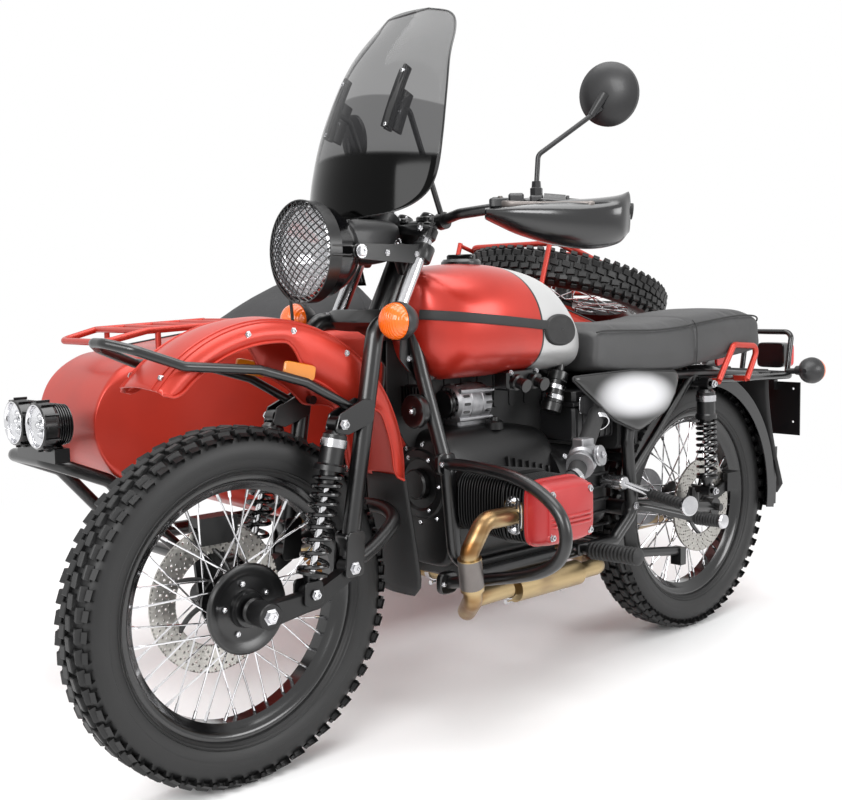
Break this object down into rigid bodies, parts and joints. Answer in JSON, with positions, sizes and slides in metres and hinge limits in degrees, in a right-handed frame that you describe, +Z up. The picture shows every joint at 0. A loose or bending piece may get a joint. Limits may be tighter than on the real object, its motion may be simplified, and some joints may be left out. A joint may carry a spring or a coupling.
{
  "type": "sidecar motorcycle",
  "caption": "Touring motorcycle with a sidecar on its right: leading link fork, flat twin engine, tall windscreen, luggage racks, driving lamps and a spare wheel on the boot lid.",
  "frame": {"origin": "on the ground, below the middle of the outline", "axes": "+Z up, +X the rider's left, -Y forwards"},
  "size_m": [1.6777, 2.4738, 1.528],
  "materials": {
    "red_paint": "satin",
    "silver_paint": "satin",
    "black_paint": "satin",
    "cast_alloy": "cast",
    "dark_alloy": "cast",
    "steel": "heat tinted",
    "tyre": "matt",
    "rubber": "matt",
    "black_plastic": "fine grain",
    "lamp_plastic": "gloss",
    "lamp_black": "gloss",
    "clear_glass": "clear",
    "smoke_glass": "smoked",
    "seat_cover": "vinyl",
    "cover_fabric": "woven"
  },
  "bodies": {
    "base": {"frame": "black_paint", "crankcase": "dark_alloy", "cylinders": "dark_alloy", "valve_covers": "red_paint", "exhaust": "steel", "crash_bars": "black_paint", "fuel_tank": "red_paint", "tank_straps_and_cap": "rubber", "seat": "seat_cover", "side_covers": "silver_paint", "airbox": "black_plastic", "rear_fender": "black_paint", "rear_rack": "black_paint", "grab_handles": "red_paint", "tail_lamp_and_markers": "lamp_black", "plate_bracket": "black_paint", "rear_indicators": "lamp_plastic", "swingarm": "black_paint", "rear_shocks": "black_paint", "rear_calipers": "dark_alloy", "final_drive": "dark_alloy", "footpegs_and_kick_starter": "rubber", "throttle_bodies_and_alternator": "cast_alloy", "sidecar_body": "red_paint", "nose_rack": "red_paint", "tonneau_cover": "cover_fabric", "sidecar_screen": "clear_glass", "sidecar_frame": "black_paint", "sidecar_arm": "black_paint", "sidecar_fender": "red_paint", "bumper": "black_paint", "driving_lamps": "black_paint"},
    "steering": {"fork": "black_paint", "leading_links": "black_paint", "front_shocks": "black_paint", "front_fender": "red_paint", "front_mud_flap": "rubber", "fender_guard": "black_paint", "front_caliper": "dark_alloy", "headlamp": "black_paint", "headlamp_glass": "clear_glass", "windscreen": "smoke_glass", "screen_stays": "black_paint", "handlebar": "black_paint", "grips": "rubber", "mirrors": "black_plastic", "hand_guards": "black_plastic", "front_indicators": "lamp_plastic", "brake_hose": "rubber"},
    "front_wheel": {"front_tyre": "tyre", "front_wheel": "black_paint"},
    "rear_wheel": {"rear_tyre": "tyre", "rear_wheel": "black_paint"},
    "sidecar_wheel": {"sidecar_tyre": "tyre", "sidecar_wheel": "black_paint"},
    "boot_lid": {"boot_lid": "red_paint", "spare_tyre": "tyre", "spare_wheel": "black_paint", "boot_rack": "red_paint"},
    "centre_stand": {"centre_stand": "black_paint"}
  },
  "joints": [
    {"name": "steering", "type": "hinge", "parent": "base", "child": "steering", "pos_m": [0.377, -0.474, 0.95], "axis": [0, 0.4695, 0.8829], "range_deg": [-30, 30]},
    {"name": "front_wheel_spin", "type": "hinge", "parent": "steering", "child": "front_wheel", "pos_m": [0.377, -0.891, 0.346], "axis": [1, 0, 0], "continuous": true},
    {"name": "rear_wheel_spin", "type": "hinge", "parent": "base", "child": "rear_wheel", "pos_m": [0.377, 0.579, 0.346], "axis": [1, 0, 0], "continuous": true},
    {"name": "sidecar_wheel_spin", "type": "hinge", "parent": "base", "child": "sidecar_wheel", "pos_m": [-0.753, 0.479, 0.346], "axis": [1, 0, 0], "continuous": true},
    {"name": "boot_lid_hinge", "type": "hinge", "parent": "base", "child": "boot_lid", "pos_m": [-0.323, 0.52636, 0.92632], "axis": [1, 0, 0], "range_deg": [0, 50]},
    {"name": "centre_stand_pivot", "type": "hinge", "parent": "base", "child": "centre_stand", "pos_m": [0.377, 0.176, 0.278], "axis": [-1, 0, 0], "range_deg": [0, 75], "stiffness_Nm_per_rad": 8, "springref_deg": -68.75}
  ]
}
